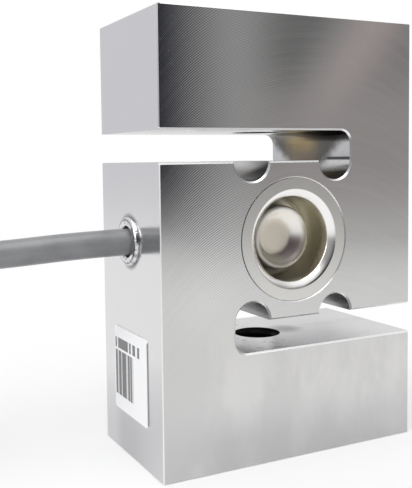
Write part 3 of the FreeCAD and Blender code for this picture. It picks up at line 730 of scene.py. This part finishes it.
def plain_metal(name, low, high, rough):
    """A small turned or drawn metal piece: two shades, fine grain."""
    g = new_graph(name)
    where = g.where()
    clouds = g.noise(where, 600.0, 3.0)
    normal = g.bump(g.noise(where, 15000.0, 2.0), 0.001 * MM)
    uneven = g.between(clouds, 0.2, 0.8, rough * 0.85, rough * 1.15)
    return g.finish(g.mix(clouds, low, high), uneven, 1.0, normal)


def tinned_screen():
    """Twisted strands: a helical ridge along the lead, seen as a bump."""
    g = new_graph("tinned_screen")
    where = g.where()
    x, y, z = g.parts(where)
    twist = g.maths("SINE", g.times(g.plus(g.plus(x, y), z), STRAND_TURN))
    clouds = g.noise(where, 900.0, 2.0)
    normal = g.bump(twist, 0.03 * MM)
    return g.finish(g.mix(clouds, (0.55, 0.55, 0.54), (0.72, 0.72, 0.70)), 0.35, 1.0, normal)


# Plastics, rubber and the rest
def plain_plastic(name, low, high, rough):
    """A moulded or extruded material: two close shades and a fine grain."""
    g = new_graph(name)
    where = g.where()
    clouds = g.noise(where, 250.0, 3.0)
    grain = g.noise(where, 5000.0, 3.0, 0.6)
    colour = g.mix(g.between(clouds, 0.3, 0.7), low, high)
    normal = g.bump(grain, 0.004 * MM)
    return g.finish(colour, g.between(grain, 0.3, 0.7, rough * 0.88, rough * 1.12), 0.0, normal)


def printed(g, along, start, bands, blur):
    """Ink along a row of the label: dark bands of those widths, from start toward the near edge."""
    ink = 0.0
    at = start
    for width, gap in bands:
        band = g.times(
            g.between(along, at + blur, at - blur), g.between(along, at - width - blur, at - width + blur))
        ink = g.larger(ink, band)
        at -= width + gap
    return ink


def inside(g, value, low, high):
    return g.times(g.above(value, low), g.below(value, high))


def label_film():
    """White film with a block of uneven bars and a row of plain blocks, both generic."""
    g = new_graph("label_film")
    where = g.where()
    y, z = g.parts(where)[1:]
    along = g.times(y, 1 / MM)
    up = g.times(z, 1 / MM)
    bar_rows = inside(g, up, *BAR_ROWS)
    bars = g.times(printed(g, along, BAR_START, BAR_BANDS, BAR_BLUR), bar_rows)
    blocks = g.times(printed(g, along, BLOCK_START, BLOCK_BANDS, BLOCK_BLUR), inside(g, up, *BLOCK_ROWS))
    ground = g.times(inside(g, along, TINT_END, BAR_START), bar_rows)
    blotches = g.noise(where, 3000.0, 2.0)
    colour = g.mix(g.noise(where, 300.0, 3.0), (0.92, 0.92, 0.925), (0.95, 0.95, 0.955))
    colour = g.mix(g.times(ground, 0.45), colour, (0.42, 0.42, 0.425))
    ink = g.times(g.larger(bars, blocks), g.between(blotches, 0.1, 0.6, 0.75, 1.0))
    colour = g.mix(ink, colour, (0.15, 0.15, 0.155))
    # Painted shadow: darker along the near and top edges.
    edge_shadow = g.larger(g.between(along, *NEAR_EDGE, 0.0, 0.65), g.between(up, *TOP_EDGE, 0.0, 0.25))
    colour = g.mix(edge_shadow, colour, (0.12, 0.12, 0.12))
    normal = g.bump(g.noise(where, 2500.0, 2.0), 0.003 * MM)
    return g.finish(colour, 0.42, 0.0, normal)


def board_laminate():
    """Green solder mask over a faint weave, with tinned pads."""
    g = new_graph("board_laminate")
    where = g.where()
    x, y, z = g.parts(where)
    weave = g.times(g.maths("SINE", g.times(x, WEAVE_TURN)), g.maths("SINE", g.times(z, WEAVE_TURN)))
    pad = g.above(g.size(y), BOARD_FACE_Y)
    green = g.mix(g.noise(where, 400.0, 3.0), (0.02, 0.14, 0.05), (0.035, 0.21, 0.08))
    return g.finish(g.mix(pad, green, (0.6, 0.6, 0.58)), 0.35, 0.0, g.bump(weave, 0.004 * MM))


def gauge_film():
    """Amber film with the foil grid's lines."""
    g = new_graph("gauge_film")
    where = g.where()
    x, y, z = g.parts(where)
    lines = g.above(g.maths("SINE", g.times(y, GRID_TURN)), 0.0)
    raised = g.below(g.distance(x, g.minus(z, MID_Z)), GRID_R)
    film = g.mix(g.noise(where, 900.0, 3.0), (0.45, 0.2, 0.04), (0.6, 0.3, 0.08))
    colour = g.mix(g.times(lines, raised), film, (0.62, 0.5, 0.36))
    return g.finish(colour, 0.3, 0.0, g.bump(lines, 0.004 * MM))


def chip_ceramic():
    """Dark glazed chips with tinned ends."""
    g = new_graph("chip_ceramic")
    where = g.where()
    end = g.above(g.size(g.parts(where)[0]), CHIP_END_X)
    dark = g.mix(g.noise(where, 1500.0, 3.0), (0.025, 0.025, 0.027), (0.05, 0.05, 0.052))
    return g.finish(g.mix(end, dark, (0.6, 0.6, 0.59)), 0.35)


# Slots of plain material: two shades and a roughness
PLAIN_METALS = {
    "clamp_brass": ((0.62, 0.46, 0.22), (0.72, 0.56, 0.3), 0.3),
    "lead_copper": ((0.62, 0.3, 0.16), (0.75, 0.42, 0.26), 0.3),
}
PLAIN_PLASTICS = {
    "bond_silicone": ((0.6, 0.6, 0.56), (0.72, 0.72, 0.68), 0.5),
    "seal_rubber": ((0.06, 0.06, 0.06), (0.09, 0.09, 0.09), 0.6),
    "potting_resin": ((0.02, 0.02, 0.024), (0.04, 0.04, 0.045), 0.25),
    "cable_jacket": ((0.19, 0.193, 0.20), (0.225, 0.228, 0.235), 0.30),
    "shrink_sleeve": ((0.012, 0.012, 0.012), (0.022, 0.022, 0.022), 0.45),
    "tie_plastic": ((0.015, 0.015, 0.015), (0.03, 0.03, 0.03), 0.4),
    "white_insulation": ((0.68, 0.68, 0.67), (0.78, 0.78, 0.77), 0.32),
    "red_insulation": ((0.42, 0.015, 0.012), (0.52, 0.03, 0.02), 0.32),
    "black_insulation": ((0.012, 0.012, 0.012), (0.022, 0.022, 0.022), 0.32),
    "green_insulation": ((0.01, 0.2, 0.05), (0.02, 0.28, 0.08), 0.32),
}


def make_materials():
    """Every slot's material, by the slot's name."""
    made = {
        "nickel_plated_steel": milled_nickel(),
        "cup_steel": cup_steel(),
        "bright_chrome": bright_chrome(),
        "tinned_screen": tinned_screen(),
        "label_film": label_film(),
        "board_laminate": board_laminate(),
        "gauge_film": gauge_film(),
        "chip_ceramic": chip_ceramic(),
    }
    made.update({name: plain_metal(name, *look) for name, look in PLAIN_METALS.items()})
    made.update({name: plain_plastic(name, *look) for name, look in PLAIN_PLASTICS.items()})
    return made


def dress_frame(materials):
    """Every CAD node gets the material of its slot in the record."""
    slots = {s["node"]: s["material_slot"] for s in frame["record"]["subparts"]}
    for node, obj in frame["nodes"].items():
        obj.data.materials.clear()
        obj.data.materials.append(materials[slots[node]])


# The cable
def fold_points(centre_x, radius, far):
    """Control points round one fold, on the polygon that its circle fits in, with the way along each."""
    step = math.pi / FOLD_STEPS
    reach = radius / math.cos(step / 2)
    first = -math.pi / 2 if far else math.pi / 2
    for k in range(FOLD_STEPS):
        angle = first - (k + 0.5) * step
        yield centre_x + reach * math.cos(angle), HANK_Y + reach * math.sin(angle), radius * (k + 0.5) * step


def one_turn(radius):
    """Control points of one turn from the start of the near-side run: place and distance along the turn."""
    run = NEAR_FOLD_X - FAR_FOLD_X
    fold = math.pi * radius
    points = [(NEAR_FOLD_X - run * share, HANK_Y - radius, run * share) for share in RUN_SHARES]
    points += [(x, y, run + s) for x, y, s in fold_points(FAR_FOLD_X, radius, True)]
    back = [(FAR_FOLD_X + run * share, run * share) for share in RUN_SHARES]
    points += [(x, HANK_Y + radius, run + fold + s) for x, s in back]
    points += [(x, y, 2 * run + fold + s) for x, y, s in fold_points(NEAR_FOLD_X, radius, False)]
    return points, 2 * (run + fold)


def hank_points():
    """The hank's control points: down the inner column, out to the outer one, and up again."""
    points = []
    turn, length = one_turn(FOLD_R[0])
    drop = (TOP_LEVEL_Z - BOTTOM_LEVEL_Z) / INNER_TURNS
    for count in range(INNER_TURNS):
        points += [(x, y, TOP_LEVEL_Z - drop * (count + s / length)) for x, y, s in turn]
    turn, length = one_turn(FOLD_R[1])
    run = NEAR_FOLD_X - FAR_FOLD_X
    for count in range(OUTER_TURNS + 1):
        for x, y, s in turn:
            risen = max(0.0, count + (s - run) / length)
            on_first_run = count == 0 and s < run
            if on_first_run:
                y = HANK_Y - FOLD_R[0] - (FOLD_R[1] - FOLD_R[0]) * s / run
            past_end = count == OUTER_TURNS and s > run + math.pi * FOLD_R[1]
            if past_end and x > FREE_END_X:
                return points + [(FREE_END_X, y, BOTTOM_LEVEL_Z + OUTER_PITCH * risen)]
            points.append((x, y, BOTTOM_LEVEL_Z + OUTER_PITCH * risen))
    return points


def cable_curve(material):
    """One open spline from the gland through the route and the hank to the free end."""
    curve = bpy.data.curves.new("signal_cable", "CURVE")
    curve.dimensions = "3D"
    curve.bevel_depth = CABLE_R
    curve.bevel_resolution = 5
    curve.resolution_u = 5
    curve.use_fill_caps = True
    points = CABLE_ROUTE + hank_points()
    spline = curve.splines.new("NURBS")
    spline.points.add(len(points) - 1)
    for point, place in zip(spline.points, points):
        point.co = (*place, 1.0)
    spline.order_u = 3
    spline.use_endpoint_u = True
    curve.materials.append(material)
    cable = bpy.data.objects.new("signal_cable", curve)
    bpy.context.collection.objects.link(cable)
    return cable


def add_cable(materials):
    cable = cable_curve(materials["cable_jacket"])
    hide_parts("cable", "cable_hank")
    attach(cable, "root")


# Meshes
def link_mesh(name, mesh, material):
    """An object of that name with that mesh and material."""
    data = bpy.data.meshes.new(name)
    mesh.to_mesh(data)
    mesh.free()
    data.materials.append(material)
    obj = bpy.data.objects.new(name, data)
    bpy.context.collection.objects.link(obj)
    return obj


def thread_ridge(name, low_z, high_z, material):
    """A helical ridge with a worn crest on the wall of one load hole."""
    mesh = bmesh.new()
    steps = int((high_z - low_z) / THREAD_PITCH * THREAD_STEPS)
    half = THREAD_PITCH * THREAD_ROOT_SHARE
    crest = THREAD_PITCH * THREAD_CREST_SHARE
    rings = []
    for k in range(steps + 1):
        angle = 2 * math.pi * k / THREAD_STEPS
        z = low_z + (high_z - low_z) * k / steps
        fade = min(1.0, k / THREAD_STEPS, (steps - k) / THREAD_STEPS)
        inner = THREAD_R - max(THREAD_LEAST_RIDGE, THREAD_RIDGE * fade)
        profile = [(THREAD_R, z - half), (inner, z - crest), (inner, z + crest), (THREAD_R, z + half)]
        rings.append([mesh.verts.new((r * math.cos(angle), r * math.sin(angle), h)) for r, h in profile])
    for ring, after in zip(rings, rings[1:]):
        for a, b in ((0, 1), (1, 2), (2, 3), (3, 0)):
            mesh.faces.new((ring[a], ring[b], after[b], after[a]))
    mesh.faces.new(rings[0])
    mesh.faces.new(reversed(rings[-1]))
    bmesh.ops.recalc_face_normals(mesh, faces=mesh.faces)
    ridge = link_mesh(name, mesh, material)
    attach(ridge, "root")


def add_threads(materials):
    margin = THREAD_PITCH * THREAD_MARGIN_SHARE
    steel = materials["nickel_plated_steel"]
    top = block_high[2]
    thread_ridge("thread_lower", THREAD_MOUTH + margin, ARM_HEIGHT - margin, steel)
    thread_ridge("thread_upper", top - ARM_HEIGHT + margin, top - THREAD_MOUTH - margin, steel)


# Stage
def seen_in_metal(g):
    """The light path's outputs, and 1 where the ray comes off or through a surface."""
    path = g.add("LightPath").outputs
    return path, g.larger(path["Is Glossy Ray"], path["Is Transmission Ray"])


def table_white():
    """White paint that keeps the part's shadow and goes over to plain white away from the part."""
    g = new_graph("table_white")
    where = g.where()
    y = g.parts(where)[1]
    away = g.add("VectorMath", {0: where}, operation="LENGTH").outputs["Value"]
    path, reflected = seen_in_metal(g)
    white = g.mix(g.noise(where, 20.0, 2.0), (0.88, 0.88, 0.88), (0.90, 0.90, 0.90))
    # Painted shade: the paint is darker where the metal sees it.
    paint = g.add("BsdfDiffuse", {"Color": g.mix(reflected, white, (0.84, 0.84, 0.84))})
    dimmed = g.larger(g.between(away, *DIMMED_FROM, 0.92, 0.30), g.between(y, *BEHIND_Y))
    light = g.mix(reflected, (1.0, 1.0, 1.0), g.join(dimmed, dimmed, dimmed))
    glow = g.add("Emission", {"Color": light, "Strength": 1.0})
    plain_share = g.times(path["Is Camera Ray"], g.between(away, *PLAIN_FROM, 0.5, 1.0))
    mirror_share = g.times(reflected, g.between(away, *MIRROR_FROM))
    share = g.larger(plain_share, mirror_share)
    mixed = g.add("MixShader", {0: share, 1: paint.outputs[0], 2: glow.outputs[0]})
    g.add("OutputMaterial", {"Surface": mixed.outputs[0]})
    return g.owner


def add_table():
    """A round white table top under the part."""
    mesh = bmesh.new()
    bmesh.ops.create_circle(mesh, cap_ends=True, radius=TABLE_R, segments=96)
    table = link_mesh("table_top", mesh, table_white())


def studio_colour(g, ray, bearing):
    """Panels round the part by bearing, which lean on the right, with bright bands above and below."""
    lean = g.between(bearing, *map(math.radians, LEAN_FROM), 0.0, PANEL_LEAN)
    leant = g.minus(bearing, g.times(lean, g.minus(ray[2], LEAN_LEVEL)))
    panels = [(degrees / 360 + 0.5, colour) for degrees, colour in STUDIO_PANELS]
    stops = [(0.0, STUDIO_SEAM)] + panels + [(1.0, STUDIO_SEAM)]
    studio = g.ramp(g.plus(g.over(leant, 2 * math.pi), 0.5), stops)
    low_panel = g.times(
        g.between(bearing, *map(math.radians, LOW_PANEL_FROM)), g.between(ray[2], *LOW_PANEL_BAND, 0.0, 0.85))
    studio = g.mix(low_panel, studio, (0.39, 0.37, 0.365))
    behind = g.times(g.between(ray[2], *REAR_BAND), g.between(ray[1], *REAR_RAY))
    bright = g.larger(g.between(ray[2], *LOW_BAND), behind)
    studio = g.mix(bright, studio, (0.95, 0.95, 0.95))
    return g.mix(g.between(ray[2], *OVERHEAD_BAND), studio, (0.98, 0.98, 0.98))


def make_world():
    """White behind the part, and a studio in front of it that only reflections see."""
    world = bpy.data.worlds.new("studio")
    bpy.context.scene.world = world
    g = Graph(world)
    ray = g.parts(g.add("TexCoord").outputs["Generated"])
    bearing = g.maths("ARCTAN2", ray[0], g.times(ray[1], -1.0))
    path, reflected = seen_in_metal(g)
    colour = g.mix(reflected, (0.62, 0.62, 0.63), studio_colour(g, ray, bearing))
    colour = g.mix(path["Is Camera Ray"], colour, (1.0, 1.0, 1.0))
    background = g.add("Background", {"Color": colour, "Strength": STUDIO_STRENGTH})
    g.add("OutputWorld", {"Surface": background.outputs[0]})


def add_softbox(name, place, size, watts):
    """A square soft lamp that looks at the middle of the block."""
    lamp = bpy.data.lights.new(name, "AREA")
    lamp.size = size
    lamp.energy = watts
    obj = bpy.data.objects.new(name, lamp)
    obj.location = place
    aim = Vector((0, 0, MID_Z)) - Vector(place)
    obj.rotation_euler = aim.to_track_quat("-Z", "Y").to_euler()
    bpy.context.collection.objects.link(obj)


def add_camera():
    """The camera that took the photograph, as solved."""
    yaw, down, roll = (math.radians(a) for a in (CAMERA_YAW, CAMERA_DOWN, CAMERA_ROLL))
    forward = Vector((math.sin(yaw) * math.cos(down), math.cos(yaw) * math.cos(down), -math.sin(down)))
    right = Vector((math.cos(yaw), -math.sin(yaw), 0))
    up = right.cross(forward)
    right, up = math.cos(roll) * right + math.sin(roll) * up, math.cos(roll) * up - math.sin(roll) * right
    data = bpy.data.cameras.new("camera")
    data.sensor_width = SENSOR
    data.lens = FOCAL_PIXELS / IMAGE_HEIGHT * SENSOR
    data.shift_x = (IMAGE_WIDTH / 2 - CENTRE_PIXEL[0]) / IMAGE_HEIGHT
    data.shift_y = (CENTRE_PIXEL[1] - IMAGE_HEIGHT / 2) / IMAGE_HEIGHT
    data.clip_start = NEAREST_SEEN
    camera = bpy.data.objects.new("camera", data)
    turn = Matrix((right, up, -forward)).transposed().to_4x4()
    camera.matrix_world = Matrix.Translation(CAMERA_PLACE) @ turn
    bpy.context.collection.objects.link(camera)
    bpy.context.scene.camera = camera


bpy.context.scene.view_settings.view_transform = "Standard"
add_camera()
materials = make_materials()
dress_frame(materials)
add_cable(materials)
add_threads(materials)
add_table()
make_world()
for softbox in SOFTBOXES:
    add_softbox(*softbox)
